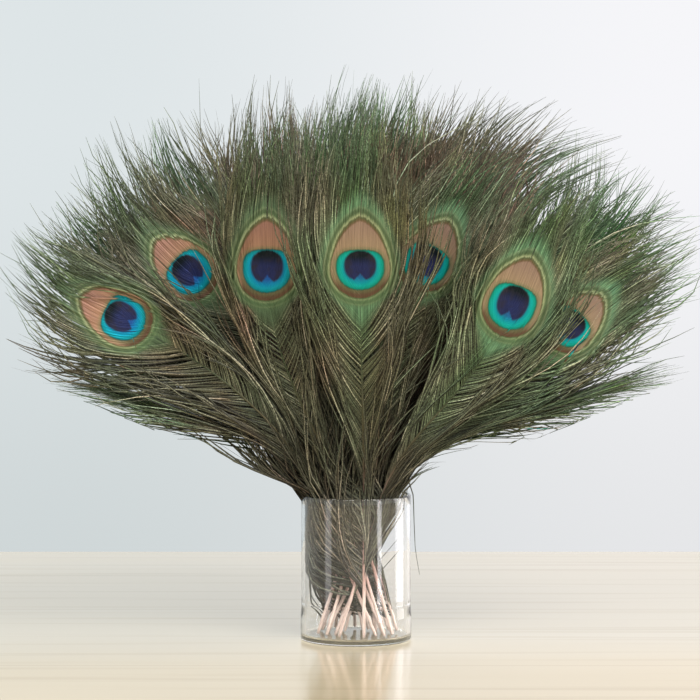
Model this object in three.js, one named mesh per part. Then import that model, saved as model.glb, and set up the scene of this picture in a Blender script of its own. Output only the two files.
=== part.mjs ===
// A bunch of peacock tail feathers standing in a clear glass vase.
//
// Millimetres, +Z up, -Y towards the side that the front feathers face.
// The origin is the middle of the vase's foot, on the surface it stands on.
// Each feather is one closed solid: a round quill from its cut end to the vase's
// rim, then a thin vane that widens round the eye and ends at the fringe.
import * as THREE from 'three';
import { LoftGeometry } from 'three/addons/geometries/LoftGeometry.js';

// The vase: a thin-walled cylinder on a slightly wider foot band.
const VASE_HEIGHT = 80;
const VASE_RADIUS = 30;
const GLASS_WALL = 1.6;
const GLASS_FLOOR = 2.6;
const FOOT_RADIUS = 30.75;
const FOOT_HEIGHT = 20;
const GROOVE_DEPTH = 0.45;
const EDGE_ROUND = 1.5;
const FLOOR_FILLET = 1.6;
const VASE_SIDES = 44;

// One feather.
const QUILL_RADIUS = 1.15;
const CUT_HEIGHT = GLASS_FLOOR + 1.4;
const BARE_ABOVE_RIM = 12;
const SIDE_BARE_ABOVE_RIM = 34;
const VANE_FLARE = 0.22;
const VANE_HALF_WIDTH = 28;
const VANE_HALF_THICKNESS = 0.8;
const FRINGE_LENGTH = 84;
const FRINGE_END_HALF_WIDTH = 12;
const FRINGE_ROUNDING = 40;

// The bend of a shaft from the rim to its eye: how far it keeps the direction that it has
// in the vase and the one that it has at the eye, as shares of its reach.
const RIM_PULL = 0.32;
const EYE_PULL = 0.4;

// Where a feather has its sections, as shares of its quill, bend and fringe.
const QUILL_STATIONS = [0, 0.5, 1];
const BEND_STATIONS = [0.08, 0.2, 0.36, 0.52, 0.68, 0.84, 1];
const FRINGE_STATIONS = [0.3, 0.6, 0.78, 0.91, 1];

// The bunch: rows of feathers, one behind the other. In the vase the rows are upright
// and ROW_PITCH apart; above the rim they lean away from the middle one.
const ROW_PITCH = 2.7;
const OUTER_ROW_LEAN = 0.5;
const LEAN_ONSET = 15;
const BUNCH_HALF_WIDTH = 200;
const SIDE_NARROWING = 0.4;
const RIM_SPREAD = 0.17;
const FEET_SPREAD = 0.06;

// Rows from front to back. `feet` is where the row's cut ends stand, left or right of
// the middle, and `shift` moves the row sideways at the rim. Each feather is given by
// its eye: how far right, how high above the rim, and its tilt from upright in degrees.
// A feather with SIDEWAYS faces left or right, all others face the front or the back.
const SIDEWAYS = true;
const ROWS = [
  { feet: 4, shift: 4, feathers: [[2, 125, 0]] },
  { feet: -14, shift: 0, feathers: [[82, 105, 20]] },
  { feet: 18, shift: 0, feathers: [[-124, 98, -62], [-47, 124, 0]] },
  { feet: -18, shift: 0, feathers: [[37, 127, 28], [114, 93, 46]] },
  { feet: 20, shift: 0, feathers: [[-89, 122, -46], [-8, 138, -4]] },
  { feet: -22, shift: 0, feathers: [[22, 142, 8], [106, 110, 45]] },
  { feet: 22, shift: 0, feathers: [[-108, 110, -52], [-32, 140, -12]] },
  { feet: 10, shift: 0, feathers: [[-94, 44, -72, SIDEWAYS], [14, 146, 3]] },
  { feet: -12, shift: 0, feathers: [[44, 146, 12], [98, 46, 72, SIDEWAYS]] },
  { feet: 23, shift: 0, feathers: [[-74, 134, -30], [-4, 146, -2]] },
  { feet: -22, shift: 0, feathers: [[54, 144, 18], [114, 104, 50]] },
  { feet: 14, shift: 0, feathers: [[-116, 98, -56], [-44, 144, -16]] },
  { feet: -20, shift: 0, feathers: [[4, 144, 3], [68, 136, 25]] },
  { feet: 16, shift: 0, feathers: [[-86, 118, -40], [-14, 140, -4]] },
  { feet: -14, shift: 0, feathers: [[40, 134, 12], [98, 102, 42]] },
  { feet: 2, shift: 0, feathers: [[-42, 124, -12], [22, 130, 6]] },
];
const MIDDLE_ROW = (ROWS.length - 1) / 2;

const glassMaterial = () => new THREE.MeshStandardMaterial({
  name: 'clear_glass', color: 0xdfe8e6, roughness: 0.05, metalness: 0,
});
const featherMaterial = () => new THREE.MeshStandardMaterial({
  name: 'feather', color: 0x5c6340, roughness: 0.65, metalness: 0,
});

// The vase is turned from one closed profile: floor, foot band, groove, wall, rim, inside.
function makeVase() {
  const inside = VASE_RADIUS - GLASS_WALL;
  const rim = GLASS_WALL / 2;
  const profile = new THREE.Path();
  profile.moveTo(0, 0);
  profile.lineTo(FOOT_RADIUS - EDGE_ROUND, 0);
  profile.absarc(FOOT_RADIUS - EDGE_ROUND, EDGE_ROUND, EDGE_ROUND, -Math.PI / 2, 0, false);
  profile.lineTo(FOOT_RADIUS, FOOT_HEIGHT - 1);
  profile.lineTo(VASE_RADIUS - GROOVE_DEPTH, FOOT_HEIGHT);
  profile.lineTo(VASE_RADIUS, FOOT_HEIGHT + 1);
  profile.lineTo(VASE_RADIUS, VASE_HEIGHT - rim);
  profile.absarc(VASE_RADIUS - rim, VASE_HEIGHT - rim, rim, 0, Math.PI, false);
  profile.lineTo(inside, GLASS_FLOOR + FLOOR_FILLET);
  profile.absarc(inside - FLOOR_FILLET, GLASS_FLOOR + FLOOR_FILLET, FLOOR_FILLET, 0, -Math.PI / 2, true);
  profile.lineTo(0, GLASS_FLOOR);
  const points = profile.getPoints(3);
  points[0].x = 0;
  points.at(-1).x = 0;
  const geometry = new THREE.LatheGeometry(points, VASE_SIDES);
  geometry.rotateX(Math.PI / 2);
  const vase = new THREE.Mesh(geometry, glassMaterial());
  vase.name = 'vase';
  return vase;
}

// Depth of a row at a place seen from the front: upright in the vase, leaning above the
// rim, and curving back in towards the middle at its two sides.
function rowDepth(row, x, z) {
  const rise = Math.max(0, z - VASE_HEIGHT);
  const lean = OUTER_ROW_LEAN * (row - MIDDLE_ROW) / MIDDLE_ROW;
  const fullness = 1 - SIDE_NARROWING * (x / BUNCH_HALF_WIDTH) ** 2;
  const spread = lean * fullness * (Math.hypot(rise, LEAN_ONSET) - LEAN_ONSET);
  return ROW_PITCH * (row - MIDDLE_ROW) + spread;
}

// The line of a feather's shaft, seen from the front: straight in the vase, one bend
// from the rim to the eye, and straight again to the end of the fringe.
function shaftLine({ feet, shift }, [eyeX, eyeRise, eyeTilt]) {
  const foot = new THREE.Vector2(feet + FEET_SPREAD * eyeX, CUT_HEIGHT);
  const rim = new THREE.Vector2(shift + RIM_SPREAD * eyeX, VASE_HEIGHT);
  const eye = new THREE.Vector2(eyeX, VASE_HEIGHT + eyeRise);
  const atRim = rim.clone().sub(foot).normalize();
  const tilt = THREE.MathUtils.degToRad(eyeTilt);
  const atEye = new THREE.Vector2(Math.sin(tilt), Math.cos(tilt));
  const reach = rim.distanceTo(eye);
  const bend = new THREE.CubicBezierCurve(
    rim,
    rim.clone().addScaledVector(atRim, RIM_PULL * reach),
    eye.clone().addScaledVector(atEye, -EYE_PULL * reach),
    eye,
  );
  const end = eye.clone().addScaledVector(atEye, FRINGE_LENGTH);
  return { quill: new THREE.LineCurve(foot, rim), bend, fringe: new THREE.LineCurve(eye, end) };
}

// Half the vane's width at a distance above the rim, for a feather of that length from
// the rim to the end of its fringe, whose vane starts bareLength above the rim.
function vaneHalfWidth(distance, length, bareLength) {
  const flare = QUILL_RADIUS + VANE_FLARE * Math.max(0, distance - bareLength);
  const left = (length - distance) / FRINGE_ROUNDING;
  const taper = left < 1 ? Math.sqrt(Math.max(0, 1 - (1 - left) ** 2)) : 1;
  const full = Math.min(flare, VANE_HALF_WIDTH);
  return Math.max(full * taper, Math.min(full, FRINGE_END_HALF_WIDTH));
}

// A feather's solid: six-sided sections along the shaft, round on the quill and flat on
// the vane. A vane lies in its row, or stands across it on a feather that faces sideways.
function makeFeather(name, row, rowIndex, eye) {
  const line = shaftLine(row, eye);
  const bendLength = line.bend.getLength();
  const total = bendLength + FRINGE_LENGTH;
  const facesSideways = eye[3] === SIDEWAYS;
  const bareLength = facesSideways ? SIDE_BARE_ABOVE_RIM : BARE_ABOVE_RIM;
  const stations = [
    ...QUILL_STATIONS.map((share) => [line.quill, share, 0]),
    ...BEND_STATIONS.map((share) => [line.bend, share, bendLength * share]),
    ...FRINGE_STATIONS.map((share) => [line.fringe, share, bendLength + FRINGE_LENGTH * share]),
  ];
  const sections = stations.map(([curve, share, distance]) => {
    const middle = curve.getPointAt(share);
    const along = curve.getTangentAt(share);
    const across = new THREE.Vector2(along.y, -along.x);
    const halfWidth = vaneHalfWidth(distance, total, bareLength);
    const roundThickness = Math.sqrt(3) / 2 * halfWidth;
    const halfThickness = distance === 0 ? roundThickness : Math.min(VANE_HALF_THICKNESS, roundThickness);
    return sectionCorners(halfWidth, halfThickness).map(([wide, thick]) => {
      const inPlane = facesSideways ? thick : wide;
      const inDepth = facesSideways ? -wide : thick;
      const x = middle.x + across.x * inPlane;
      const z = middle.y + across.y * inPlane;
      return new THREE.Vector3(x, rowDepth(rowIndex, x, z) + inDepth, z);
    });
  });
  const geometry = new LoftGeometry(sections, { capStart: true, capEnd: true });
  const feather = new THREE.Mesh(geometry, featherMaterial());
  feather.name = name;
  return feather;
}

// The six corners of a section, counterclockwise seen from the fringe.
function sectionCorners(halfWidth, halfThickness) {
  return [
    [halfWidth, 0],
    [halfWidth / 2, halfThickness],
    [-halfWidth / 2, halfThickness],
    [-halfWidth, 0],
    [-halfWidth / 2, -halfThickness],
    [halfWidth / 2, -halfThickness],
  ];
}

const bunch = new THREE.Group();
bunch.add(makeVase());
let count = 0;
ROWS.forEach((row, rowIndex) => {
  for (const eye of row.feathers) {
    count += 1;
    bunch.add(makeFeather(`feather_${String(count).padStart(2, '0')}`, row, rowIndex, eye));
  }
});

export default bunch;
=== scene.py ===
import math

import bpy
import numpy as np
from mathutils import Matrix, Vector


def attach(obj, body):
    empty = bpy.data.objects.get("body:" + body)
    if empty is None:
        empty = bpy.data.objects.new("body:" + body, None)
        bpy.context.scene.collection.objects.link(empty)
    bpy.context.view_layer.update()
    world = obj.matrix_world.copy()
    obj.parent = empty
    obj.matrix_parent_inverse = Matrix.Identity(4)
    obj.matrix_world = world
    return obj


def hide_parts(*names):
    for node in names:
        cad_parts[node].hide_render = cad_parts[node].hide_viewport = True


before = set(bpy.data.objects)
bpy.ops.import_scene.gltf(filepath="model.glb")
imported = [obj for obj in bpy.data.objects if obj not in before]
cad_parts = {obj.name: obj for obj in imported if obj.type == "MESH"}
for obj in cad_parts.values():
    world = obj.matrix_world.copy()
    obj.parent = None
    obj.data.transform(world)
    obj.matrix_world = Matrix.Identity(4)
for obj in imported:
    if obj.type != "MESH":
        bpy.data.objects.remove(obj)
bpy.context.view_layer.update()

MM = 0.001

# -------- the vase
VASE_HEIGHT = 80
VASE_RADIUS = 30
GLASS_WALL = 1.6
GLASS_FLOOR = 2.6
FOOT_RADIUS = 30.45
FOOT_HEIGHT = 20
GROOVE_DEPTH = 0.05
BAND_SLOPE = 8
BEAD_HEIGHT = 0.06
BEAD_STEP = 0.3
EDGE_ROUND = 1.5
FLOOR_FILLET = 1.6
VASE_SIDES = 144
INSIDE = VASE_RADIUS - GLASS_WALL

# -------- the bunch
# Rows from front to back: where the cut ends stand, the row's shift at the rim, and for
# each feather its eye: how far right, how high above the rim, and its tilt in degrees.
ROWS = (
    (4, 4, ((2, 125, 0),)),
    (-14, 0, ((82, 105, 20),)),
    (18, 0, ((-124, 98, -62), (-47, 124, 0))),
    (-18, 0, ((37, 127, 28), (114, 93, 46))),
    (20, 0, ((-89, 122, -46), (-8, 138, -4))),
    (-22, 0, ((22, 142, 8), (106, 110, 45))),
    (22, 0, ((-108, 110, -52), (-32, 140, -12))),
    (10, 0, ((-94, 44, -72), (14, 146, 3))),
    (-12, 0, ((44, 146, 12), (98, 46, 72))),
    (23, 0, ((-74, 134, -30), (-4, 146, -2))),
    (-22, 0, ((54, 144, 18), (114, 104, 50))),
    (14, 0, ((-116, 98, -56), (-44, 144, -16))),
    (-20, 0, ((4, 144, 3), (68, 136, 25))),
    (16, 0, ((-86, 118, -40), (-14, 140, -4))),
    (-14, 0, ((40, 134, 12), (98, 102, 42))),
    (2, 0, ((-42, 124, -12), (22, 130, 6))),
)
MIDDLE_ROW = (len(ROWS) - 1) / 2
ROW_PITCH = 2.7
OUTER_ROW_LEAN = 0.5
LEAN_ONSET = 15
BUNCH_HALF_WIDTH = 200
SIDE_NARROWING = 0.4
RIM_SPREAD = 0.17
FEET_SPREAD = 0.06
RIM_PULL = 0.32
EYE_PULL = 0.4
CUT_HEIGHT = GLASS_FLOOR + 1.4
LINE_PAST_EYE = 200

# Feathers that face left or right, and those whose dull back faces the front: all from
# FIRST_BACK_ROW on, and the TURNED ones before it.
SIDEWAYS = {13: -1, 16: 1}
FIRST_BACK_ROW = 9
TURNED = (8, 9, 10, 11, 12, 14, 15)
# The feather whose barb hangs outside the vase.
SHEDDING = 2
FIRST_SEED = 4100
# How far the barbs stand off the shaft, left and right, against the usual 1.
OPENNESS = {1: (0.95, 1.25), 2: (0.7, 0.75), 3: (1.15, 0.6), 4: (0.5, 0.8), 5: (0.7, 0.8),
            6: (0.9, 0.9), 7: (0.9, 0.8), 10: (1.0, 0.8), 20: (1.0, 0.8), 28: (1.0, 0.8)}
# The eyes' sizes, against one whose turquoise spot is 26 wide, and how much rounder the
# spot is than a wide oval, up to ROUNDING_REACH from its middle.
EYE_SIZE = {1: 0.98, 2: 0.97, 3: 0.94, 4: 1.0, 5: 0.92, 6: 0.87, 7: 0.92}
EYE_ROUND = {1: 0.0, 2: 0.26, 3: 0.2, 4: 0.12, 5: 0.15, 6: 0.1, 7: 0.2}
ROUNDING_REACH = 16
# How long a fringe is, against the usual 1.
FRINGE_LENGTH = {3: 0.84, 10: 0.96, 11: 0.86, 15: 0.9, 19: 0.95, 20: 1.0, 21: 0.84, 23: 0.9,
                 24: 1.0, 28: 1.05}
# How dark and how brown a feather is: 0 is the palest and 1 the darkest.
TONE = {1: 0.38, 2: 0.25, 3: 0.6, 4: 0.58, 5: 0.45, 6: 0.1, 7: 0.62, 8: 0.3, 9: 0.86, 10: 0.05,
        11: 0.45, 12: 0.35, 13: 0.15, 14: 0.3, 15: 0.9, 16: 0.1, 18: 0.35, 19: 0.88, 20: 0.12,
        21: 0.42, 22: 0.85, 28: 0.15}
# How far the tips of a fringe bend to the viewer's right.
BEND = {10: -10, 19: 26, 24: 46, 28: -30}

# The eggs of an eye's pattern: half the width, the reach towards the tip and towards the
# root, and how square those two ends are.
EYE_RIM = (17.3, 27.8, 17.4, 1.6, 2.0)
EYE_HALO = (21.5, 40.0, 31.0, 1.5, 1.2)
EYE_SPOT = (13.0, 10.2, 11.6, 2.9, 2.0)
EYE_HEART = (8.7, 7.9, 8.4, 2.2, 2.3)
HEART_RISE = 1.9


# -------- shader maths
class Wire:
    """A value, colour or vector of a material, with the sums it is worked out by."""

    def __init__(self, bench, socket):
        self.bench = bench
        self.socket = socket

    def sum(self, operation, *terms):
        return self.bench.add("ShaderNodeMath", {"operation": operation}, dict(enumerate(terms)))

    def __add__(self, other):
        return self.sum("ADD", self, other)

    def __sub__(self, other):
        return self.sum("SUBTRACT", self, other)

    def __rsub__(self, other):
        return self.sum("SUBTRACT", other, self)

    def __mul__(self, other):
        return self.sum("MULTIPLY", self, other)

    def __truediv__(self, other):
        return self.sum("DIVIDE", self, other)

    def __rtruediv__(self, other):
        return self.sum("DIVIDE", other, self)

    def __pow__(self, other):
        return self.sum("POWER", self, other)

    def __rpow__(self, other):
        return self.sum("POWER", other, self)

    __radd__, __rmul__ = __add__, __mul__

    def __neg__(self):
        return self.sum("MULTIPLY", self, -1)

    def __abs__(self):
        return self.sum("ABSOLUTE", self)

    def at_least(self, other):
        return self.sum("MAXIMUM", self, other)


class Bench:
    """The nodes of one material, or of the room's light."""

    def __init__(self, owner):
        self.owner = owner
        self.owner.use_nodes = True
        self.tree = self.owner.node_tree
        self.tree.nodes.clear()

    def add(self, kind, settings, inputs, output=0):
        node = self.tree.nodes.new(kind)
        for name, value in settings.items():
            if name == "stops":
                ramp = node.color_ramp
                while len(ramp.elements) < len(value):
                    ramp.elements.new(0.5)
                for element, (position, shade) in zip(ramp.elements, value):
                    element.position = position
                    element.color = shade
            else:
                setattr(node, name, value)
        for name, value in inputs.items():
            if isinstance(value, Wire):
                self.tree.links.new(value.socket, node.inputs[name])
            else:
                node.inputs[name].default_value = value
        return Wire(self, node.outputs[output])

    def attribute(self, name, output="Vector"):
        return self.add("ShaderNodeAttribute", {"attribute_name": name}, {}, output)

    def parts(self, vector):
        return [self.add("ShaderNodeSeparateXYZ", {}, {0: vector}, k) for k in range(3)]

    def vector(self, x, y, z):
        return self.add("ShaderNodeCombineXYZ", {}, {0: x, 1: y, 2: z})

    def step(self, value, low, high):
        """0 below low and 1 above high, or the other way round where low is the higher."""
        return self.add("ShaderNodeMapRange", {"interpolation_type": "SMOOTHSTEP"},
                        {"Value": value, "From Min": low, "From Max": high})

    def mix(self, kind, share, *shades):
        """Mixes two colours. One that isn't worked out is given by its screen values."""
        first, second = (s if isinstance(s, Wire) else colour(*s) for s in shades)
        settings = {"data_type": "RGBA", "blend_type": kind}
        return self.add("ShaderNodeMix", settings, {0: share, 6: first, 7: second}, 2)

    def blend(self, share, first, second):
        return self.mix("MIX", share, first, second)

    def tint(self, share, first, second):
        return self.mix("MULTIPLY", share, first, second)

    def ramp(self, value, *stops):
        stops = [(position, colour(*shade)) for position, shade in stops]
        return self.add("ShaderNodeValToRGB", {"stops": stops}, {0: value})

    def grey(self, value):
        return self.add("ShaderNodeCombineColor", {}, {0: value, 1: value, 2: value})

    def noise(self, place, scale, detail=2.0, roughness=0.5):
        return self.add("ShaderNodeTexNoise", {"noise_dimensions": "3D"},
                        {"Vector": place, "Scale": scale, "Detail": detail,
                         "Roughness": roughness})

    def mottle(self, x, y, z, detail=2.0, roughness=0.5):
        return self.noise(self.vector(x, y, z), 1.0, detail, roughness)

    def bump(self, height, strength, distance):
        return self.add("ShaderNodeBump", {}, {"Strength": strength, "Distance": distance,
                                               "Height": height}, "Normal")

    def surface(self, **inputs):
        named = {name.replace("_", " "): value for name, value in inputs.items()}
        return self.add("ShaderNodeBsdfPrincipled", {}, named)

    def finish(self, shader, kind="ShaderNodeOutputMaterial"):
        output = self.tree.nodes.new(kind)
        self.tree.links.new(shader.socket, output.inputs["Surface"])
        return self.owner


def colour(red, green, blue):
    """A colour from its 0 to 255 screen values."""
    screen = [value / 255 for value in (red, green, blue)]
    linear = [v / 12.92 if v <= 0.04045 else ((v + 0.055) / 1.055) ** 2.4 for v in screen]
    return (*linear, 1.0)


# -------- the barbs' colours
def egg(across, along, half_width, top, bottom, top_power, bottom_power):
    """1 on the outline of an egg round the middle of the eye, less inside it."""
    wide = abs(across) / half_width
    above = along.at_least(0) / top
    below = (-along).at_least(0) / bottom
    upper = (wide ** top_power + above ** top_power) ** (1 / top_power)
    lower = (wide ** bottom_power + below ** bottom_power) ** (1 / bottom_power)
    return upper.at_least(lower)


def barb_material():
    bench = Bench(bpy.data.materials.new("peacock_barb"))
    step, blend, tint, mottle = bench.step, bench.blend, bench.tint, bench.mottle
    across, along, run = bench.parts(bench.attribute("place"))
    strand, cross, tone = bench.parts(bench.attribute("strand"))
    front = bench.attribute("front", "Fac")
    dice = bench.add("ShaderNodeTexWhiteNoise", {"noise_dimensions": "1D"},
                     {"W": strand * 977.0}, "Color")
    first, second, third = bench.parts(dice)

    # A loose barb: a pale rib between dark, fluffy flanks.
    speck = mottle(run * 0.75, strand * 613.0, 0.0, 2.0, 0.7)
    fluff = mottle(run * 2.2 + abs(cross) * 1.6, strand * 211.0, 0.0, 1.0)
    rib = step(abs(cross) + (speck - 0.5) * 1.3, 0.66, 0.24)
    ribs = bench.ramp(second, (0.0, (80, 81, 63)), (0.6, (118, 120, 96)), (0.9, (156, 155, 128)),
                      (1.0, (218, 208, 182)))
    flanks = bench.ramp(first, (0.0, (26, 24, 18)), (0.5, (44, 42, 32)), (1.0, (68, 65, 50)))
    loose = blend(rib, flanks, ribs)
    patch = mottle(across * 0.03, along * 0.012, tone * 40.0)
    patch_two = mottle(along * 0.012, across * 0.03, tone * 40.0 + 9.0)
    mauve = blend(third, (276, 218, 222), (268, 228, 224))
    patch = patch + step(tone, 0.7, 0.85) * 0.2
    tips = step(along, 38.0, 80.0)
    mauve_share = step(patch, 0.46, 0.66) * (tone * 0.7 + 0.3) * (1 - tips * 0.6)
    loose = tint(mauve_share, loose, mauve)
    loose = tint(tips, loose, (260, 270, 272))
    greenness = step(patch_two, 0.38, 0.6) * step(along, -150.0, -30.0)
    loose = tint(greenness * (1.05 - tone * 0.7), loose, (212, 258, 236))
    near_shaft = step(abs(across), 16.0, 2.0) * step(along, -125.0, -30.0)
    loose = tint(near_shaft * (1.1 - tone), loose, (172, 212, 176))
    gold = mottle(across * 0.04, along * 0.02, tone * 71.0, 1.0)
    gold = step(gold, 0.52, 0.7) * step(along, 0.0, 25.0)
    loose = tint(gold * (0.8 - tone), loose, (268, 292, 216))
    beads = mottle(run * 1.25, strand * 877.0, 3.0, 1.0)
    shade = step(fluff, 0.3, 0.7) * 0.4 + step(beads, 0.36, 0.64) * 0.5 + 0.56
    gloom = 1.2 - step(tone, 0.2, 0.9) * 0.36
    # Painted shade: the barbs grow darker towards the base of the bunch, and darker still low in
    # the vase, where they shade one another.
    depth = step(along, -140.0, 5.0) * 0.48 + 0.52 - step(along, -145.0, -185.0) * 0.12
    loose = tint(1.0, loose, bench.grey(shade * gloom * depth))

    # The eye, whose strands are shifted a little so that its rings have ragged edges.
    x = across + (third - 0.5) * 0.2
    y = along + (second - 0.5) * 0.35
    rim = egg(x, y, *EYE_RIM)
    halo = egg(x, y, *EYE_HALO)
    oval = egg(x, y, *EYE_SPOT)
    heart = egg(x, y - HEART_RISE, *EYE_HEART)
    notch = step(y + abs(x) * 1.1, -1.8, -3.4)
    streak = mottle(across * 1.9, along * 0.05, tone * 31.0, 1.0)
    streak = step(streak, 0.3, 0.7)

    meadow = blend(streak, (78, 118, 86), (136, 188, 142))
    olive = blend(streak, (54, 58, 42), (102, 108, 78))
    meadow = blend(step(tone, 0.38, 0.66) * 0.7, meadow, olive)
    meadow = tint(step(y, -14.0, -24.0) * 0.8, meadow, (196, 196, 188))
    eye = blend(step(halo, 1.14, 0.8) * 0.88, loose, meadow)
    ring = rim - step(y, 4.0, 22.0) * 0.06 + (second - 0.5) * 0.018
    bands = bench.ramp((ring - 0.85) * 2.2, (0.0, (120, 96, 74)), (0.11, (100, 96, 66)),
                       (0.17, (88, 98, 64)), (0.24, (158, 168, 128)), (0.30, (128, 144, 104)),
                       (0.38, (84, 104, 70)), (0.50, (80, 98, 66)), (0.60, (122, 134, 100)),
                       (0.70, (80, 98, 66)), (0.86, (76, 96, 64)))
    bands = blend(step(y, -8.0, -15.0) * 0.6, bands, (84, 114, 76))
    bands = tint(0.7, bands, bench.grey(first * 0.5 + streak * 0.25 + 0.66))
    eye = blend(step(rim, 1.28, 1.08), eye, bands)

    copper = blend(step(y, 9.0, 24.0), (168, 146, 120), (158, 134, 119))
    # A dark feather has a redder ring and a bluer spot.
    ruddy = step(tone, 0.41, 0.56)
    copper = tint(ruddy, copper, (262, 235, 234))
    copper = blend(step(y, -2.0, -10.0), copper, (104, 80, 62))
    green_edge = step(oval, 1.25, 1.02) * 0.55
    copper = blend(green_edge, copper, (112, 124, 88))
    copper = tint(0.55, copper, bench.grey(streak * 0.35 + 0.74))
    eye = blend(step(rim, 0.93, 0.885), eye, copper)

    lagoon = bench.ramp(oval, (0.0, (52, 76, 140)), (0.42, (30, 104, 156)), (0.62, (0, 148, 172)),
                        (0.80, (0, 174, 170)), (0.92, (0, 156, 140)), (1.0, (14, 88, 68)))
    lagoon = tint(ruddy, lagoon, (255, 236, 282))
    eye = blend(step(oval, 1.05, 0.96), eye, lagoon)
    velvet = blend(step(y, 1.0, 7.5), (36, 45, 92), (2, 18, 26))
    wine = mottle(across * 0.3, along * 0.3, tone * 17.0, 1.0)
    wine = step(wine, 0.45, 0.7) * 0.4 + step(abs(x), 3.0, 7.0) * 0.4
    velvet = blend(wine, velvet, (45, 43, 55))
    in_heart = step(heart, 1.08, 0.9) * (1 - notch)
    eye = blend(in_heart, eye, velvet)

    # The back of a feather shows the eye only faintly.
    in_eye = step(halo, 1.1, 0.85)
    in_oval = step(rim, 1.02, 0.9)
    dull = blend(in_eye * 0.75, loose, blend(0.3, (96, 84, 62), eye))
    skin = blend(front, dull, eye)

    gloss = 0.5 - in_oval * 0.08 + (speck - 0.5) * 0.2
    fine = mottle(run * 2.6, strand * 311.0, across * 0.4, 2.0)
    bump = bench.bump(fine, 0.5, 0.0003)
    return bench.finish(bench.surface(Base_Color=skin, Roughness=gloss, Normal=bump,
                                      Metallic=in_oval * front * 0.5, Specular_IOR_Level=0.3,
                                      Sheen_Weight=0.08, Sheen_Roughness=0.4))


def shaft_material():
    bench = Bench(bpy.data.materials.new("feather_shaft"))
    step, blend = bench.step, bench.blend
    across, along, run = bench.parts(bench.attribute("place"))
    tone = bench.parts(bench.attribute("strand"))[2]
    grain = bench.mottle(across * 1.4, run * 0.06, tone * 23.0, 3.0)
    cut = blend(step(grain, 0.35, 0.7), (214, 194, 182), (180, 154, 142))
    pink = blend(step(grain, 0.35, 0.7), (186, 150, 138), (146, 110, 98))
    lower = blend(step(run, 14.0, 34.0), cut, pink)
    brown = blend(step(grain, 0.4, 0.7), (96, 88, 62), (56, 54, 36))
    pale = blend(step(grain, 0.4, 0.7), (196, 182, 150), (150, 130, 100))
    pale_stretch = step(tone, 0.62, 0.72) * step(along, -85.0, -115.0)
    upper = blend(pale_stretch, brown, pale)
    upper = blend(step(along, -100.0, -45.0), upper, (50, 64, 38))
    skin = blend(step(run, 62.0, 105.0), lower, upper)
    bump = bench.bump(grain, 0.4, 0.0004)
    return bench.finish(bench.surface(Base_Color=skin, Roughness=grain * 0.2 + 0.32, Normal=bump,
                                      Specular_IOR_Level=0.5))


def glass_material():
    bench = Bench(bpy.data.materials.new("vase_glass"))
    place = bench.add("ShaderNodeTexCoord", {}, {}, "Object")
    flow = bench.noise(place, 60.0)
    smear = bench.step(bench.noise(place, 24.0, 4.0), 0.45, 0.75)
    bump = bench.bump(flow, 0.15, 0.0006)
    glass = bench.surface(Base_Color=(1.0, 1.0, 1.0, 1.0), Roughness=smear * 0.05 + 0.01,
                          Normal=bump, IOR=1.46, Transmission_Weight=1.0)
    clear = bench.add("ShaderNodeBsdfTransparent", {}, {0: (0.97, 0.985, 0.98, 1.0)})
    # A lamp's light passes straight through, so that the vase casts only a faint shadow.
    lamp_ray = bench.add("ShaderNodeLightPath", {}, {}, "Is Shadow Ray")
    return bench.finish(bench.add("ShaderNodeMixShader", {}, {0: lamp_ray, 1: glass, 2: clear}))


# The seams of the table top, in metres.
FIRST_SEAM = -0.093
PLANK_WIDTH = 0.212


def table_material():
    bench = Bench(bpy.data.materials.new("pale_table"))
    place = bench.add("ShaderNodeTexCoord", {}, {}, "Object")
    x, y, _ = bench.parts(place)
    grain = bench.mottle(x * 1.6, y * 26.0, 0.0, 4.0)
    cloud = bench.mottle(x * 3.0, y * 5.0, 4.0)
    skin = bench.blend(grain, (196, 187, 168), (181, 170, 147))
    skin = bench.blend(cloud * 0.5, skin, (197, 185, 163))
    # Painted reflection: the front of the top is tinted warmer, for the warm reflection of the vase
    # and feathers on it.
    skin = bench.tint(bench.step(y, 0.02, -0.12), skin, (253, 245, 228))
    brushed = bench.mottle(x * 2.4, y * 70.0, 9.0, 3.0)
    skin = bench.tint(bench.step(brushed, 0.5, 0.72) * 0.5, skin, (226, 222, 210))
    planks = (y - FIRST_SEAM) / PLANK_WIDTH
    across_plank = planks.sum("FRACT", planks)
    seam = bench.step(abs(across_plank - 0.5), 0.494, 0.4985)
    skin = bench.tint(seam * 0.35, skin, (190, 180, 160))
    dull = bench.step(x * x + y * y, 0.1, 0.6) * 0.35
    return bench.finish(bench.surface(Base_Color=skin, Roughness=grain * 0.1 + 0.1 + dull,
                                      Specular_IOR_Level=0.5))


# -------- a feather's shape
def bundle(*values):
    """Sets values side by side, as the parts of a spot or the corners of a face."""
    return np.stack(np.broadcast_arrays(*values), axis=-1)


def unit(vectors):
    return vectors / np.maximum(np.linalg.norm(vectors, axis=-1, keepdims=True), 1e-9)


def row_depth(row, x, z):
    rise = np.maximum(0, z - VASE_HEIGHT)
    lean = OUTER_ROW_LEAN * (row - MIDDLE_ROW) / MIDDLE_ROW
    fullness = 1 - SIDE_NARROWING * (x / BUNCH_HALF_WIDTH) ** 2
    spread = lean * fullness * (np.hypot(rise, LEAN_ONSET) - LEAN_ONSET)
    return ROW_PITCH * (row - MIDDLE_ROW) + spread


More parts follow.
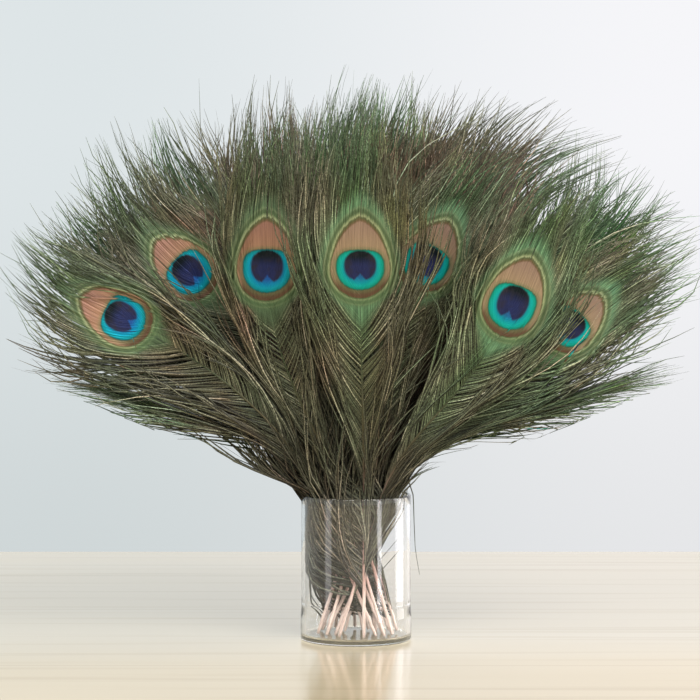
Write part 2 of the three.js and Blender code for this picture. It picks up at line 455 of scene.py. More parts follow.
class Feather:
    """One feather's shaft line, seen from the front, measured from the middle of its eye."""

    def __init__(self, number, row, feet, shift, eye_x, eye_rise, tilt):
        self.number = number
        self.row = row
        self.side = SIDEWAYS.get(number, 0)
        self.facing = -1 if row >= FIRST_BACK_ROW or number in TURNED else 1
        self.random = np.random.default_rng(FIRST_SEED + number)
        self.tone = TONE.get(number, self.random.uniform(0.1, 1))
        self.eye_size = EYE_SIZE.get(number, self.random.uniform(0.8, 0.95))
        self.eye_round = EYE_ROUND.get(number, self.random.uniform(0.0, 0.25))
        self.fringe = FRINGE_LENGTH.get(number, self.random.uniform(0.8, 0.98))
        usual_bend = 8 + abs(tilt) / 46 * 9 + self.random.normal(0, 5)
        self.sweep = self.facing * BEND.get(number, usual_bend)
        self.untidy = 0.2 + 0.5 * min(abs(tilt) / 50, 1)
        self.level = math.sin(math.radians(abs(tilt)))
        foot = np.array([feet + FEET_SPREAD * eye_x, CUT_HEIGHT])
        rim = np.array([shift + RIM_SPREAD * eye_x, VASE_HEIGHT])
        eye = np.array([eye_x, VASE_HEIGHT + eye_rise])
        at_rim = (rim - foot) / np.linalg.norm(rim - foot)
        angle = math.radians(tilt)
        at_eye = np.array([math.sin(angle), math.cos(angle)])
        reach = np.linalg.norm(eye - rim)
        pull_one = rim + at_rim * RIM_PULL * reach
        pull_two = eye - at_eye * EYE_PULL * reach
        u = np.linspace(0, 1, 120)[:, None]
        bend = ((1 - u) ** 3 * rim + 3 * (1 - u) ** 2 * u * pull_one
                + 3 * (1 - u) * u ** 2 * pull_two + u ** 3 * eye)
        quill = foot + (rim - foot) * np.linspace(0, 1, 30)[:-1, None]
        self.line = np.vstack([quill, bend, eye + at_eye * LINE_PAST_EYE])
        steps = np.linalg.norm(np.diff(self.line, axis=0), axis=1)
        distance = np.concatenate([[0], np.cumsum(steps)])
        self.distance = distance - distance[-2]
        self.foot_along = self.distance[0]
        self.rim_along = self.foot_along + np.linalg.norm(rim - foot)

    def on_shaft(self, along):
        """Where the shaft is, and which way it runs there."""
        spot, ahead, behind = ([np.interp(along + step, self.distance, self.line[:, k])
                                for k in (0, 1)] for step in (0, 1, -1))
        run_x, run_z = ahead[0] - behind[0], ahead[1] - behind[1]
        size = np.hypot(run_x, run_z)
        return spot[0], spot[1], run_x / size, run_z / size

    def on_eye(self, along, across):
        """The same spot on the pattern of an eye of the usual size and roundness."""
        along, across = along / self.eye_size, across / self.eye_size
        rounding = self.eye_round * np.exp(-(along / ROUNDING_REACH) ** 2)
        return along / (1 + rounding), across

    def place(self, along, across, lift, drop=0):
        """Where a spot of the vane is: along the shaft, across it, lifted off its face and
        let down by its drop."""
        x, z, up_x, up_z = self.on_shaft(along)
        if self.side:
            in_plane, in_depth = lift * self.side, -across
        else:
            in_plane, in_depth = across * self.facing, -lift * self.facing
        x = x + up_z * in_plane
        z = z - up_x * in_plane
        y = row_depth(self.row, x, z) + in_depth
        return hold_in_vase(bundle(x, y, z) - drop)


class HangingBarb:
    """The one loose barb that hangs down outside the vase, on the viewer's right."""

    tone = 0.5
    length = 58
    below_eye = 120
    course = np.array([[24, -12, 93], [28.6, -10.5, 88], [31.2, -9, 80], [31.6, -8, 66],
                       [32.3, -8, 50], [34.6, -8, 37]])

    def on_eye(self, along, across):
        return along - self.below_eye, across

    def place(self, along, across, lift, drop):
        knots = np.linspace(0, self.length, len(self.course))
        x, y, z = (np.interp(along, knots, self.course[:, k]) for k in range(3))
        return bundle(x + across, y - lift, z) - drop


def new_object(name, data, *materials):
    """Puts a mesh, a lamp or a camera into the scene."""
    made = bpy.data.objects.new(name, data)
    bpy.context.scene.collection.objects.link(made)
    for material in materials:
        data.materials.append(material)
    return made


class Mesh:
    """Gathers the strands, tubes and sheets of one piece."""

    def __init__(self):
        self.points, self.places, self.strands = [], [], []
        self.sheets = {4: [], 3: []}
        self.count = 0

    def add(self, points, places, strands, *sheets):
        """A sheet is its faces, their corners on the bake map, and rows of facts that repeat:
        1 for a face that faces the front, and the number of its material."""
        self.points.append(points.reshape(-1, 3))
        self.places.append(places.reshape(-1, 3))
        self.strands.append(strands.reshape(-1, 3))
        for faces, chart, facts in sheets:
            faces = faces.reshape(-1, faces.shape[-1]) + self.count
            facts = np.tile(facts, (len(faces) // len(facts), 1))
            self.sheets[faces.shape[1]].append((faces, chart.reshape(-1, 2), facts))
        self.count += len(self.points[-1])

    def make(self, name, materials):
        points = np.vstack(self.points) * MM
        sheets = self.sheets[4] + self.sheets[3]
        corners = np.concatenate([faces.ravel() for faces, _, _ in sheets])
        sizes = np.concatenate([np.full(len(faces), faces.shape[1]) for faces, _, _ in sheets])
        flat = np.vstack([chart for _, chart, _ in sheets])
        facts = np.vstack([facts for _, _, facts in sheets])
        mesh = bpy.data.meshes.new(name)
        mesh.vertices.add(len(points))
        mesh.vertices.foreach_set("co", points.astype(np.float32).ravel())
        mesh.loops.add(len(corners))
        mesh.loops.foreach_set("vertex_index", corners.astype(np.int32))
        mesh.polygons.add(len(sizes))
        starts = np.concatenate([[0], np.cumsum(sizes)[:-1]])
        mesh.polygons.foreach_set("loop_start", starts.astype(np.int32))
        mesh.polygons.foreach_set("material_index", facts[:, 1].astype(np.int32))
        mesh.polygons.foreach_set("use_smooth", (facts[:, 1] == 1).astype(bool))
        bake_map = mesh.uv_layers.new(name="OFBake")
        bake_map.data.foreach_set("uv", flat.astype(np.float32).ravel())
        for label, values in (("place", self.places), ("strand", self.strands)):
            layer = mesh.attributes.new(label, "FLOAT_VECTOR", "POINT")
            layer.data.foreach_set("vector", np.vstack(values).astype(np.float32).ravel())
        layer = mesh.attributes.new("front", "FLOAT", "FACE")
        layer.data.foreach_set("value", facts[:, 0].astype(np.float32))
        mesh.update(calc_edges=True)
        mesh.validate()
        return new_object(name, mesh, *materials)


# The bake map: strands lie in cells, MAP_COLUMNS side by side, under the eye's web.
MAP_COLUMNS = 4
MAP_TOP = 0.90
CELL_START = 0.03
CELL_FILL = 0.94
CELL_TIP = 0.02
# Where the three sides of a strand lie in the height of its cell.
SIDE_BANDS = np.array([[0.04, 0.34], [0.36, 0.66], [0.70, 0.96]])

# A spot this far off the face of a strand or shaft tells which way that face looks.
FACE_PROBE = 0.5
TIP_LENGTH = 0.9
SAG_POWER = 2.5


def map_cells(first, count, total):
    """Lower left corners and sizes of the cells that a batch of strands takes."""
    rows = math.ceil(total / MAP_COLUMNS)
    number = first + np.arange(count)
    left = (number % MAP_COLUMNS) / MAP_COLUMNS
    low = (number // MAP_COLUMNS) * MAP_TOP / rows
    return left, low, 1 / MAP_COLUMNS, MAP_TOP / rows


def chart_of(*corners):
    """The corners of faces on the bake map, each a pair of how far right and how high."""
    return np.stack([bundle(*pair) for pair in corners], axis=-2)


def add_strands(mesh, feather, along, across, lift, width, thick, twist, sag, cells, idents):
    """Barbs as closed three-sided tapering strips. along, across and lift are strands x rings."""
    strands, rings = along.shape
    drop = np.zeros((strands, rings, 3))
    drop[..., 2] = sag[:, None] * np.linspace(0, 1, rings) ** SAG_POWER
    middle = feather.place(along, across, lift, drop)
    above = feather.place(along, across, lift + FACE_PROBE, drop)
    ahead = unit(np.gradient(middle, axis=1))
    outward = unit(above - middle)
    wide = unit(np.cross(ahead, outward))
    face = unit(np.cross(wide, ahead))
    cos, sin = np.cos(twist[..., None]), np.sin(twist[..., None])
    wide, face = wide * cos + face * sin, face * cos - wide * sin
    half = width[..., None] / 2
    ring = np.stack([middle - wide * half, middle + wide * half,
                     middle + face * thick[..., None]], axis=2)
    tip = ring[:, -1].mean(axis=1, keepdims=True) + ahead[:, -1:] * TIP_LENGTH
    points = np.concatenate([ring.reshape(strands, rings * 3, 3), tip], axis=1)

    steps = np.linalg.norm(np.diff(middle, axis=1), axis=2)
    run = np.concatenate([np.zeros((strands, 1)), np.cumsum(steps, axis=1)], axis=1)
    share = run / run[:, -1:]
    side = np.array([-0.5, 0.5, 0.0])
    edges = across[..., None] + side * width[..., None]
    on_along, on_across = feather.on_eye(along[..., None], edges)
    places = bundle(on_across, on_along, run[..., None]).reshape(strands, rings * 3, 3)
    places = np.concatenate([places, places[:, -1:]], axis=1)
    cross = np.append(np.tile([-1.0, 1.0, 0.0], rings), 0.0)
    facts = bundle(idents[:, None], cross, feather.tone)

    first = (np.arange(strands) * (rings * 3 + 1))[:, None, None]
    level = (np.arange(rings - 1) * 3)[None, :, None]
    # The edges that a side lies between: the two sides of the front, then the back.
    pairs = np.array([[0, 2], [2, 1], [1, 0]])
    a = first + level + pairs[None, None, :, 0]
    b = first + level + pairs[None, None, :, 1]
    last = first[:, 0] + (rings - 1) * 3
    tips = bundle(last + pairs[None, :, 0], last + pairs[None, :, 1], last + 3)
    roots = bundle(first[:, 0] + 2, first[:, 0], first[:, 0] + 1)

    left, low, cell_wide, cell_high = cells
    u = left[:, None] + cell_wide * (CELL_START + CELL_FILL * share)
    v = low[:, None, None] + cell_high * SIDE_BANDS[None]
    u0, u1 = u[:, :-1, None], u[:, 1:, None]
    v0, v1 = v[:, None, :, 0], v[:, None, :, 1]
    sliver = cell_wide * CELL_TIP
    tip_map = chart_of((u[:, -1:], v[..., 0]), (u[:, -1:], v[..., 1]),
                       (u[:, -1:] + sliver, v.mean(axis=2)))
    root_map = chart_of((left, low), (left + sliver, low), (left, low + cell_high / 2))[:, None]
    mesh.add(points, places, facts,
             (bundle(a, b, b + 3, a + 3), chart_of((u0, v0), (u0, v1), (u1, v1), (u1, v0)),
              [[1, 0], [1, 0], [0, 0]]),
             (np.concatenate([tips, roots], axis=1), np.concatenate([tip_map, root_map], axis=1),
              [[1, 0], [1, 0], [0, 0], [0, 0]]))


# How far barbs keep from the wall, how fast their room opens above the rim, and how low
# they may hang.
NECK_GAP = 0.9
NECK_RISE = 2.0
NECK_OPENING = 2.4
NECK_SOFTNESS = 1.6
LEAST_RADIUS = 0.1
LOWEST = CUT_HEIGHT - 0.6


def hold_in_vase(points):
    """Keeps what is inside the vase clear of its wall, and what leaves it clear of its rim."""
    height = points[..., 2]
    radius = np.hypot(points[..., 0], points[..., 1])
    room = INSIDE - NECK_GAP + np.maximum(0, height - VASE_HEIGHT - NECK_RISE) * NECK_OPENING
    held = radius - NECK_SOFTNESS * np.logaddexp(0, (radius - room) / NECK_SOFTNESS)
    near = np.maximum(held, LEAST_RADIUS) / np.maximum(radius, LEAST_RADIUS)
    height = np.maximum(height, LOWEST)
    return bundle(points[..., 0] * near, points[..., 1] * near, height)


SHAFT_END = -8
SHAFT_FLATNESS = 0.85
# The shaft's place in its row of the bake map.
SHAFT_START = 0.02
SHAFT_FILL = 0.95
SHAFT_CAP = 0.015


def add_shaft(mesh, feather, cells):
    """The quill and shaft: an oval tube that thins towards the eye and sinks behind it."""
    sides, stations = 8, 64
    along = np.linspace(feather.foot_along, SHAFT_END, stations)
    knots = [feather.foot_along, feather.foot_along + 6, feather.rim_along, -40, SHAFT_END]
    radius = np.interp(along, knots, [0.85, 0.95, 0.8, 0.5, 0.15])
    sunk = np.interp(along, [-70, -30], [0, -0.35])
    middle = feather.place(along, 0 * along, sunk)
    above = feather.place(along, 0 * along, sunk + FACE_PROBE)
    ahead = unit(np.gradient(middle, axis=0))
    wide = unit(np.cross(ahead, unit(above - middle)))
    face = unit(np.cross(wide, ahead))
    angle = np.arange(sides) * 2 * math.pi / sides
    ring = (middle[:, None] + radius[:, None, None] * (wide[:, None] * np.cos(angle)[:, None]
            + face[:, None] * np.sin(angle)[:, None] * SHAFT_FLATNESS))
    ends = np.stack([middle[0] - ahead[0] * 0.4, middle[-1] + ahead[-1] * 1.0])
    points = np.concatenate([ring.reshape(-1, 3), ends])
    run = along - feather.foot_along
    places = bundle(np.cos(angle), along[:, None], run[:, None]).reshape(-1, 3)
    places = np.concatenate([places, places[[0, -1]]])
    facts = np.tile([[0.5, 0.5, feather.tone]], (len(points), 1))
    k = np.arange(sides)
    after = (k + 1) % sides
    level = (np.arange(stations - 1) * sides)[:, None]
    top = (stations - 1) * sides
    end = stations * sides
    left, low, cell_wide, cell_high = cells
    row_wide = cell_wide * MAP_COLUMNS
    u = left[0] + row_wide * (SHAFT_START + SHAFT_FILL * run / run[-1])
    v = low[0] + cell_high * (0.05 + 0.9 * np.arange(sides + 1) / sides)
    gap = row_wide * SHAFT_CAP
    u0, u1 = u[:-1, None], u[1:, None]
    v0, v1, middle_v = v[:-1], v[1:], (v[:-1] + v[1:]) / 2
    horn = [[1, 1]]
    mesh.add(points, places, facts,
             (bundle(level + k + sides, level + after + sides, level + after, level + k),
              chart_of((u1, v0), (u1, v1), (u0, v1), (u0, v0)), horn),
             (bundle(after, end, k),
              chart_of((u[0], v1), (u[0] - gap, middle_v), (u[0], v0)), horn),
             (bundle(end + 1, top + after, top + k),
              chart_of((u[-1] + gap, middle_v), (u[-1], v1), (u[-1], v0)), horn))


# The web: its size against the eye's rim, how deep its front and back lie behind the
# barbs, and the run and strand that its colours are worked out from.
WEB_FILL = 0.97
WEB_FRONT = 0.12
WEB_BACK = 0.42
WEB_RUN = 20
WEB_STRAND = 0.31
# On the bake map the web's two faces and its edge lie above the strands.
WEB_SCALE = 0.00164
WEB_MIDDLES = np.array([[0.06, MAP_TOP + 0.045], [0.20, MAP_TOP + 0.045]])
EDGE_LEFT = 0.3
EDGE_WIDTH = 0.6
EDGE_LOW = MAP_TOP + 0.02
EDGE_HIGH = MAP_TOP + 0.03


def add_web(mesh, feather):
    """The eye's middle, where the barbs hold together as one thin sheet."""
    spokes, rings = 48, 7
    angle = np.arange(spokes) * 2 * math.pi / spokes
    share = np.linspace(0, 1, rings + 1)[1:]
    aim_x, aim_y = np.sin(angle), np.cos(angle)
    half_width, top, bottom, top_power, bottom_power = EYE_RIM
    power = np.where(aim_y > 0, top_power, bottom_power)
    tall = np.where(aim_y > 0, top, bottom)
    reach = (np.abs(aim_x / half_width) ** power + np.abs(aim_y / tall) ** power) ** (-1 / power)
    x = np.append(share[:, None] * reach * aim_x * WEB_FILL, 0)
    y = np.append(share[:, None] * reach * aim_y * WEB_FILL, 0)
    along, across = y * feather.eye_size, x * feather.eye_size
    points = np.concatenate([feather.place(along, across, -depth)
                             for depth in (WEB_FRONT, WEB_BACK)])
    pattern_y, pattern_x = feather.on_eye(along, across)
    places = np.tile(bundle(pattern_x, pattern_y, WEB_RUN), (2, 1))
    facts = np.tile([[WEB_STRAND, 0.5, feather.tone]], (len(points), 1))
    half = len(x)
    k = np.arange(spokes)
    after = (k + 1) % spokes
    level = (np.arange(rings - 1) * spokes)[:, None]
    near = bundle(level + k, level + after, level + after + spokes, level + k + spokes)
    far = near[..., ::-1] + half
    outer = (rings - 1) * spokes
    edge = bundle(outer + k, outer + after, outer + after + half, outer + k + half)
    near_fan = bundle(half - 1, after, k)
    far_fan = near_fan[:, ::-1] + half
    flat = bundle(x, y) * WEB_SCALE
    chart = np.concatenate([flat + middle for middle in WEB_MIDDLES])
    left = EDGE_LEFT + EDGE_WIDTH * k / spokes
    right = left + EDGE_WIDTH / spokes
    edge_map = chart_of((left, EDGE_LOW), (right, EDGE_LOW), (right, EDGE_HIGH), (left, EDGE_HIGH))
    front, back = [[1, 0]], [[0, 0]]
    mesh.add(points, places, facts,
             (near, chart[near], front), (far, chart[far], back), (edge, edge_map, back),
             (near_fan, chart[near_fan], front), (far_fan, chart[far_fan], back))


# How many barbs of each kind a feather has on either side.
EYE_BARBS = 58
FRINGE_BARBS = 38
LOOSE_BARBS = 78
VASE_BARBS = 38
# How far below the eye's middle the barbs of the eye and fringe start, and the loose ones end.
EYE_ROOTS = 36.0
FRINGE_ROOTS = 34.0
LOOSE_END = 35
# Lengths of a kind of barb, or how far above the eye's middle it ends.
EYE_TOPS = (50, 88)
EYE_SHORT_TOPS = (30, 50)
FRINGE_LOWEST_TOP = 57
FRINGE_TOP_RANGE = 36
LOOSE_LENGTHS = (84, 116)
ESCAPED_EXTRA = 22
VASE_LENGTHS = (40, 85)
# How thick a barb is against its width.
EYE_THICKNESS = 0.16
LOOSE_THICKNESS = 0.25
# The height that stays bare above the cut end, in the front rows and behind them.
FRONT_ROWS = 6
BARE_IN_FRONT = (18, 38)
BARE_BEHIND = (3, 10)
# How far a barb in the vase stands off its shaft, to the left and right of the viewer.
SPREAD_LEFT = 40
SPREAD_RIGHT = 4
# Where a fringe starts to close and bend, over what height, and how far it closes.
FRINGE_START = 14
FRINGE_RISE = 75
FRINGE_CLOSING = 0.3


def wander(random, strands, share, amount, clump):
    """A smooth sideways drift that grows towards the tips, shared in part by each clump."""
    clumps = np.arange(strands) // clump
    shared = random.normal(size=(clumps[-1] + 1, 4))[clumps]
    own = random.normal(size=(strands, 4))
    mixed = shared * 0.8 + own * 0.4
    wave = np.sin(share * 5.0 + mixed[:, 2:3] * 2) * share ** 1.2
    return amount * (mixed[:, :1] * share ** 1.7 + mixed[:, 1:2] * 0.5 * wave)


def curl(random, strands, share, amount, chance):
    """The hooks and waves of the few barbs that have come loose."""
    loose = random.uniform(size=(strands, 1)) < chance
    phase = random.uniform(0, 6.3, (strands, 1))
    turns = random.uniform(4, 9, (strands, 1))
    wave = np.sin(share * turns + phase) - np.sin(phase)
    return loose * amount * random.uniform(0.5, 1.3, (strands, 1)) * wave * share ** 2


def twirl(random, strands, share, at_root, at_tip):
    """How far each barb is twisted about itself, more so towards its tip."""
    return random.normal(0, at_root, (strands, 1)) + share * random.normal(0, at_tip, (strands, 1))


def gather(values, clump, share):
    """Draws neighbours towards the middle of their clump."""
    clumps = np.arange(len(values)) // clump
    middles = np.stack([values[clumps == k].mean(axis=0) for k in range(clumps[-1] + 1)])
    return values + (middles[clumps] - values) * share


def eye_barbs(feather, random, n):
    """The close barbs that make the eye, and run on above it as the thin end of the fringe."""
    size = feather.eye_size
    root = (-EYE_ROOTS * (np.arange(n) + random.uniform(0.2, 0.8, n)) / n - 0.4) * size
    reach = 0.8 * np.abs(root)
    share = np.linspace(0, 1, 12)[None] ** 1.2
    top = random.uniform(*EYE_TOPS, n) * feather.fringe - 0.02 * reach ** 2
    top = np.where(random.uniform(size=n) < 0.25, random.uniform(*EYE_SHORT_TOPS, n), top)
    ahead = (top - root)[:, None] * share
    across = reach[:, None] * (1 - np.exp(-ahead / reach[:, None]))
    loose = np.clip((ahead + root[:, None] - 20 * size) / 60, 0, 1)
    free = np.clip(reach / 9, 0.1, 1)[:, None]
    across = across + free * (wander(random, n, loose, 7.5, 7) + curl(random, n, loose, 6.0, 0.5))
    across = gather(across, 4, loose * 0.5 * free)
    lift = 0.1 * random.uniform(-1, 1, (n, 1)) + wander(random, n, loose, 5.0, 5)
    thin = 1 - 0.3 * np.clip((ahead + root[:, None] - 18) / 60, 0, 1)
    width = random.uniform(0.6, 0.9, (n, 1)) * thin * (1 - 0.8 * share ** 6)
    twist = twirl(random, n, loose, 0.08, 0.7)
    return root[:, None] + ahead, across, lift, width, width * EYE_THICKNESS, twist


def fringe_barbs(feather, random, n):
    """Stouter barbs from behind the eye that make the long tips of the fringe."""
    root = np.sort(-FRINGE_ROOTS * random.uniform(0.05, 1.0, n) * feather.eye_size)[::-1]
    reach = 0.8 * np.abs(root) + random.uniform(0, 5, n)
    share = np.linspace(0, 1, 12)[None] ** 1.1
    top = FRINGE_LOWEST_TOP + FRINGE_TOP_RANGE * random.uniform(0, 1, n) ** 1.25
    top = top * feather.fringe - 0.016 * reach ** 2
    ahead = (top - root)[:, None] * share
    across = reach[:, None] * (1 - np.exp(-ahead / reach[:, None]))
    loose = np.clip((ahead + root[:, None] - 12) / 70, 0, 1)
    across = across + wander(random, n, loose, 11.0, 5) + curl(random, n, loose, 7.5, 0.8)
    across = gather(across, 5, loose * 0.4)
    lift = -0.7 - random.uniform(0, 2, (n, 1)) * share + wander(random, n, loose, 6.0, 4)
    width = random.uniform(0.7, 1.2, (n, 1)) * (1 - 0.85 * share ** 2.5)
    twist = twirl(random, n, loose, 0.2, 0.9)
    return root[:, None] + ahead, across, lift, width, width * LOOSE_THICKNESS, twist


def loose_barbs(feather, random, n, openness):
    """The long separate barbs of the shaft below the eye."""
    start = feather.rim_along + 4
    stop = -LOOSE_END * feather.eye_size
    height = ((np.arange(n) + random.uniform(0, 1, n)) / n) ** 0.85
    height = gather(height, 3, 0.35)
    root = start + (stop - start) * height
    slant = np.radians(np.interp(height, [0, 0.45, 0.8, 1], [14, 34, 46, 43]))
    slant = slant * random.normal(1, 0.05, n)
    reach = np.interp(height, [0, 0.45, 0.8, 1], [20, 36, 40, 29]) * openness
    clumps = np.arange(n) // 6
    reach = reach * random.normal(1, 0.12, clumps[-1] + 1)[clumps] * random.normal(1, 0.07, n)
    escaped = random.uniform(size=n) < 0.08 * feather.level
    length = random.uniform(*LOOSE_LENGTHS, n) + ESCAPED_EXTRA * escaped
    ease = reach / np.tan(slant)
    share = np.linspace(0, 1, 11)[None] ** 1.1
    ahead = (length * np.interp(height, [0, 1], [0.97, 0.9]))[:, None] * share
    across = reach[:, None] * (1 - np.exp(-ahead / ease[:, None]))
    across = across + wander(random, n, share, 9.0, 8) + curl(random, n, share, 7.5, feather.untidy)
    across = gather(across, 4, share * 0.3)
    across = across + curl(random, n, share, 15.0, 1.0) * escaped[:, None]
    lift = random.normal(0, 1.0, (n, 1)) * share + wander(random, n, share, 6.0, 6)
    lift = lift + curl(random, n, share, 5.0, feather.untidy)
    grown = np.clip(share / 0.15, 0, 1) * 0.4 + 0.6
    width = random.uniform(1.0, 1.7, (n, 1)) * grown * (1 - 0.88 * share ** 2.5)
    twist = twirl(random, n, share, 0.3, 0.9)
    return root[:, None] + ahead, across, lift, width, width * LOOSE_THICKNESS, twist


def vase_barbs(feather, random, n, spread):
    """Barbs of the part of the shaft that stands in the vase."""
    bare = BARE_IN_FRONT if feather.row < FRONT_ROWS else BARE_BEHIND
    start = feather.foot_along + random.uniform(*bare)
    root = start + (feather.rim_along + 4 - start) * (np.arange(n) + random.uniform(0, 1, n)) / n
    reach = random.uniform(0.3, 1.0, n) * spread
    length = random.uniform(*VASE_LENGTHS, n)
    share = np.linspace(0, 1, 9)[None]
    ahead = length[:, None] * share
    across = reach[:, None] * (1 - np.exp(-ahead / 20))
    across = across + wander(random, n, share, 5.0, 4)
    lift = random.normal(0, 5.0, (n, 1)) * share + wander(random, n, share, 5.0, 4)
    width = random.uniform(1.0, 1.6, (n, 1)) * (1 - 0.85 * share ** 3)
    twist = twirl(random, n, share, 0.5, 0.9)
    return root[:, None] + ahead, across, lift, width, width * LOOSE_THICKNESS, twist


def make_feather(feather, materials):
    random = feather.random
    mesh = Mesh()
    left_open, right_open = OPENNESS.get(feather.number, random.uniform(0.85, 1.25, 2))
    total = 2 * (EYE_BARBS + FRINGE_BARBS + LOOSE_BARBS + VASE_BARBS) + MAP_COLUMNS + 1
    taken = MAP_COLUMNS
    add_shaft(mesh, feather, map_cells(0, 1, total))
    add_web(mesh, feather)
    for sign, openness in ((-1, left_open), (1, right_open)):
        in_vase_spread = SPREAD_LEFT if sign * feather.facing < 0 else SPREAD_RIGHT
        # Each kind of barb, and how far its tips may sag.
        for (along, across, lift, width, thick, twist), sag_share in (
                (eye_barbs(feather, random, EYE_BARBS), 6),
                (fringe_barbs(feather, random, FRINGE_BARBS), 10),
                (loose_barbs(feather, random, LOOSE_BARBS, openness), 18),
                (vase_barbs(feather, random, VASE_BARBS, in_vase_spread), 0)):
            n = len(along)
            high = np.clip((along - FRINGE_START) / FRINGE_RISE, 0, 1.3)
            across = sign * across * (1 - FRINGE_CLOSING * high) + feather.sweep * high ** 2
            sag = sag_share * random.uniform(0, 1, n) ** 2 * feather.level ** 2
            add_strands(mesh, feather, along, across, lift, width, thick, twist, sag,
                        map_cells(taken, n, total), random.uniform(size=n))
            taken += n
    if feather.number == SHEDDING:
        along = np.linspace(0, HangingBarb.length, 14)[None]
        width = 0.8 - 0.6 * along / HangingBarb.length
        add_strands(mesh, HangingBarb(), along, 0 * along, 0 * along, width, width * 0.3,
                    0 * along, np.zeros(1), map_cells(taken, 1, total), np.full(1, 0.4))
    piece = mesh.make(f"plume_{feather.number:02d}", materials)
    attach(piece, "root")
    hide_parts(f"feather_{feather.number:02d}")


# -------- the vase
def arc(x, z, radius, start, stop, points):
    angle = np.radians(np.linspace(start, stop, points))
    return [(x + radius * math.cos(a), z + radius * math.sin(a)) for a in angle]


def make_vase(material):
    """The glass, turned from one closed profile: foot, band, bead, wall, rim, inside, floor."""
    rim = GLASS_WALL / 2
    profile = [(12, 0), (24, 0)]
    profile += arc(FOOT_RADIUS - EDGE_ROUND, EDGE_ROUND, EDGE_ROUND, -90, 0, 7)
    profile += [(FOOT_RADIUS, 8), (FOOT_RADIUS, FOOT_HEIGHT - BAND_SLOPE)]
    turn = np.linspace(0, math.pi, 13)[1:-1]
    neck = VASE_RADIUS - GROOVE_DEPTH
    profile += [(neck + (FOOT_RADIUS - neck) * (1 + math.cos(a)) / 2,
                 FOOT_HEIGHT - BAND_SLOPE + BAND_SLOPE * a / math.pi) for a in turn]
    bead = (0, 0.5, 1, 0.5, 0)
    profile += [(neck + BEAD_HEIGHT * share, FOOT_HEIGHT + BEAD_STEP * k)
                for k, share in enumerate(bead)]
    profile += [(neck + GROOVE_DEPTH / 2, FOOT_HEIGHT + 4)]
    profile += [(VASE_RADIUS, z) for z in (26, 34, 44, 54, 66, 74)]
    profile += arc(VASE_RADIUS - rim, VASE_HEIGHT - rim, rim, 0, 180, 11)
    profile += [(INSIDE, z) for z in (74, 66, 54, 42, 30, 20, 12)]
    profile += arc(INSIDE - FLOOR_FILLET, GLASS_FLOOR + FLOOR_FILLET, FLOOR_FILLET, 0, -90, 7)
    profile += [(16, GLASS_FLOOR + 0.1), (6, GLASS_FLOOR + 0.3)]
    angle = np.arange(VASE_SIDES) * 2 * math.pi / VASE_SIDES
    points = [(r * math.cos(a), r * math.sin(a), z) for r, z in profile for a in angle]
    points += [(0, 0, 0), (0, 0, GLASS_FLOOR + 0.35)]
    n = VASE_SIDES
    last = (len(profile) - 1) * n
    edges = [(low + k, low + (k + 1) % n) for low in range(0, last, n) for k in range(n)]
    faces = [(a, b, b + n, a + n) for a, b in edges]
    faces += [(len(points) - 2, (k + 1) % n, k) for k in range(n)]
    faces += [(last + k, last + (k + 1) % n, len(points) - 1) for k in range(n)]
    mesh = bpy.data.meshes.new("glass_vase")
    mesh.from_pydata([(x * MM, y * MM, z * MM) for x, y, z in points], [], faces)
    mesh.polygons.foreach_set("use_smooth", [True] * len(faces))
    mesh.update()
    vase = new_object("glass_vase", mesh, material)
    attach(vase, "root")
    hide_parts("vase")
    return vase


# -------- the room
def make_table():
    """A pale table top that ends a little behind the vase."""
    left, right, front, back, thickness = -2.6, 2.6, -3.2, 0.406, 0.03
    corners = [(left, front, 0), (right, front, 0), (right, back, 0), (left, back, 0)]
    low = [(x, y, -thickness) for x, y, _ in corners]
    mesh = bpy.data.meshes.new("table_top")
    faces = [(0, 1, 2, 3), (7, 6, 5, 4), (0, 4, 5, 1), (1, 5, 6, 2), (2, 6, 7, 3), (3, 7, 4, 0)]
    mesh.from_pydata(corners + low, [], faces)
    table = new_object("table_top", mesh, table_material())


def make_light(name, place, aim, width, height, power, tint):
    """A soft light that is itself out of sight."""
    light = bpy.data.lights.new(name, "AREA")
    light.shape = "RECTANGLE"
    light.size, light.size_y = width, height
    light.energy = power
    light.color = tint
    lamp = new_object(name, light)
    lamp.location = place
    lamp.rotation_euler = (Vector(aim) - Vector(place)).to_track_quat("-Z", "Y").to_euler()
    lamp.visible_camera = False
    return lamp


CARD_DISTANCE = 0.15
CARD_MIDDLE = 0.042
CARD_HEIGHT = 0.078


def set_cards(vase):
    """Small white cards that only the glass mirrors, as upright streaks down its wall."""
    mirror = bpy.data.collections.new("mirroring_glass")
    mirror.objects.link(vase)
    for name, turn, width, power in (("card_front_right", 46, 0.022, 0.03),
                                     ("card_right", 98, 0.06, 0.055),
                                     ("card_left", -56, 0.035, 0.015)):
        angle = math.radians(turn)
        place = (CARD_DISTANCE * math.sin(angle), -CARD_DISTANCE * math.cos(angle), CARD_MIDDLE)
        card = make_light(name, place, (0, 0, CARD_MIDDLE), width, CARD_HEIGHT, power, (1, 0.98, 1))
        card.light_linking.receiver_collection = mirror


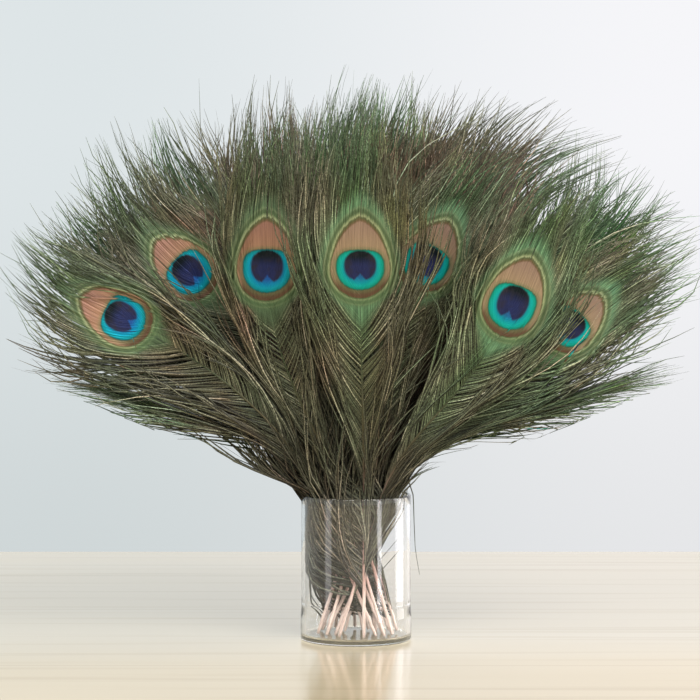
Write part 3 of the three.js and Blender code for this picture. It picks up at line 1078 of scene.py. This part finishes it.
def light_room():
    """Pale walls that the glass and the camera see, a dimmer fill, and soft lamps."""
    world = bpy.data.worlds.new("pale_room")
    bpy.context.scene.world = world
    bench = Bench(world)
    x, _, z = bench.parts(bench.add("ShaderNodeTexCoord", {}, {}, "Generated"))
    wall = bench.blend(bench.step(x, -0.1, 0.12), (222, 229, 231), (246, 246, 249))
    wall = bench.tint(bench.step(z, 0.03, -0.13), wall, (238, 239, 238))
    glare = bench.step(x, 0.15, 0.45) * 0.4 + 1
    bright = bench.add("ShaderNodeBackground", {}, {"Color": wall, "Strength": glare})
    dim = bench.add("ShaderNodeBackground", {}, {"Color": colour(226, 231, 234), "Strength": 0.6})
    spread = bench.add("ShaderNodeLightPath", {}, {}, "Is Diffuse Ray")
    room = bench.add("ShaderNodeMixShader", {}, {0: spread, 1: bright, 2: dim})
    bench.finish(room, "ShaderNodeOutputWorld")
    middle = (0, 0, 0.15)
    make_light("key_softbox", (0.9, -1.6, 1.6), middle, 1.3, 1.3, 44, (1, 0.98, 0.95))
    make_light("window_right", (1.5, -0.3, 1.35), (0, 0, 0.2), 2.3, 1.3, 23, (1, 0.98, 1))
    make_light("side_left", (-1.2, -0.75, 1.4), middle, 0.6, 0.8, 7.5, (1, 0.97, 0.98))
    make_light("back_fill", (-0.5, 1.9, 1.3), middle, 1.2, 1.0, 16, (0.98, 0.99, 1))
    make_light("front_fill", (-0.7, -2.2, 1.8), middle, 1.2, 1.2, 19, (0.97, 0.99, 1))


CAMERA_TILT = 2.83


def set_camera():
    """A long lens in front of the vase, looking slightly down."""
    camera = bpy.data.cameras.new("front_camera")
    camera.sensor_width = 36
    camera.lens = 150.8
    camera.clip_end = 20
    view = new_object("front_camera", camera)
    view.location = (-0.0033, -1.6, 0.238)
    view.rotation_euler = (math.radians(90 - CAMERA_TILT), 0, 0)
    bpy.context.scene.camera = view
    bpy.context.scene.view_settings.view_transform = "Standard"


set_camera()
light_room()
make_table()
set_cards(make_vase(glass_material()))
feather_materials = (barb_material(), shaft_material())
stands = [(row, feet, shift, *eye) for row, (feet, shift, eyes) in enumerate(ROWS) for eye in eyes]
for number, stand in enumerate(stands, 1):
    make_feather(Feather(number, *stand), feather_materials)
